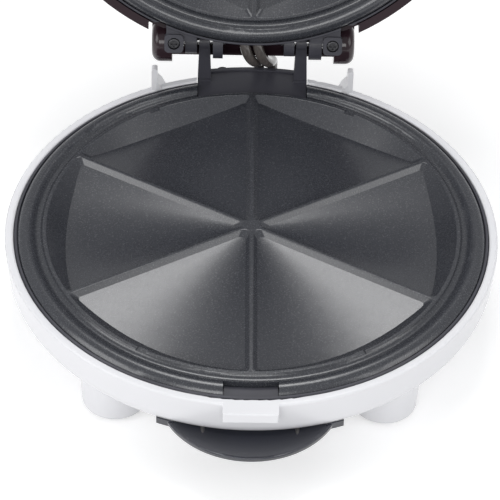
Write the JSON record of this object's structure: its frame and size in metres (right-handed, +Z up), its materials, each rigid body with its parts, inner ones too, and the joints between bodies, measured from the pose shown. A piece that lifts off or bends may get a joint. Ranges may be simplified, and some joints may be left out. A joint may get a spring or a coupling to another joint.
{
  "type": "quesadilla maker",
  "caption": "Round countertop quesadilla maker with wedge pockets in two plates, a hinged lid standing open, half-moon handles and a latch.",
  "frame": {"origin": "on the table plane, at the centre between the four feet", "axes": "+Z up, +Y towards the hinge, +X to the right seen from the front"},
  "size_m": [0.263, 0.3818, 0.3563],
  "materials": {
    "white_shell": "gloss",
    "black_frame": "satin",
    "nonstick_plate": "matte speckled non-stick coat",
    "black_handle": "gloss",
    "lid_gloss": "high gloss",
    "element_steel": "satin",
    "tab_brass": "satin",
    "clip_steel": "satin",
    "screw_steel": "satin",
    "reflector_metal": "satin",
    "foot_rubber": "matte",
    "gland_rubber": "matte",
    "block_plastic": "matte",
    "thermostat_ceramic": "matte",
    "fuse_tin": "satin",
    "wire_sleeve": "matte",
    "pin_steel": "satin",
    "lead_sleeve": "gloss",
    "red_lens": "clear gloss",
    "green_lens": "clear gloss",
    "lamp_glass": "clear"
  },
  "bodies": {
    "base": {"lower_shell": "white_shell", "lower_frame": "black_frame", "lower_plate": "nonstick_plate", "lower_element": "element_steel", "lower_element_terminals": "tab_brass", "lower_element_clamps": "clip_steel", "lower_clamp_screws": "screw_steel", "lower_reflector": "reflector_metal", "lower_reflector_screws": "screw_steel", "lower_plate_screws": "screw_steel", "base_screws": "screw_steel", "foot_pads": "foot_rubber", "lower_handle": "black_handle", "lower_handle_screws": "screw_steel", "cord_gland": "gland_rubber", "terminal_block": "block_plastic", "terminal_block_screw": "screw_steel", "thermostat": "thermostat_ceramic", "thermostat_screws": "screw_steel", "thermal_fuse": "fuse_tin", "fuse_clip": "clip_steel", "fuse_clip_screw": "screw_steel", "base_wires": "wire_sleeve", "hinge_pins": "pin_steel", "sleeved_lead_left": "lead_sleeve", "sleeved_lead_right": "lead_sleeve"},
    "lid": {"upper_shell": "lid_gloss", "upper_frame": "black_frame", "upper_plate": "nonstick_plate", "upper_element": "element_steel", "upper_element_terminals": "tab_brass", "upper_element_clamps": "clip_steel", "upper_clamp_screws": "screw_steel", "upper_reflector": "reflector_metal", "upper_reflector_screws": "screw_steel", "upper_plate_screws": "screw_steel", "lid_screws": "screw_steel", "upper_handle": "black_handle", "upper_handle_screws": "screw_steel", "power_lens": "red_lens", "ready_lens": "green_lens", "lamp_holder": "block_plastic", "lamp_holder_screws": "screw_steel", "neon_lamps": "lamp_glass", "lamp_wires": "wire_sleeve", "latch_pin": "pin_steel"},
    "latch": {"latch_clip": "black_handle"}
  },
  "joints": [
    {"name": "lid_hinge", "type": "hinge", "parent": "base", "child": "lid", "pos_m": [0, 0.13, 0.072], "axis": [1, 0, 0], "range_deg": [0, 110], "deforming": ["sleeved_lead_left", "sleeved_lead_right"]},
    {"name": "latch_pivot", "type": "hinge", "parent": "lid", "child": "latch", "pos_m": [0, 0.21438, 0.32723], "axis": [1, 0, 0], "range_deg": [0, 50]}
  ]
}
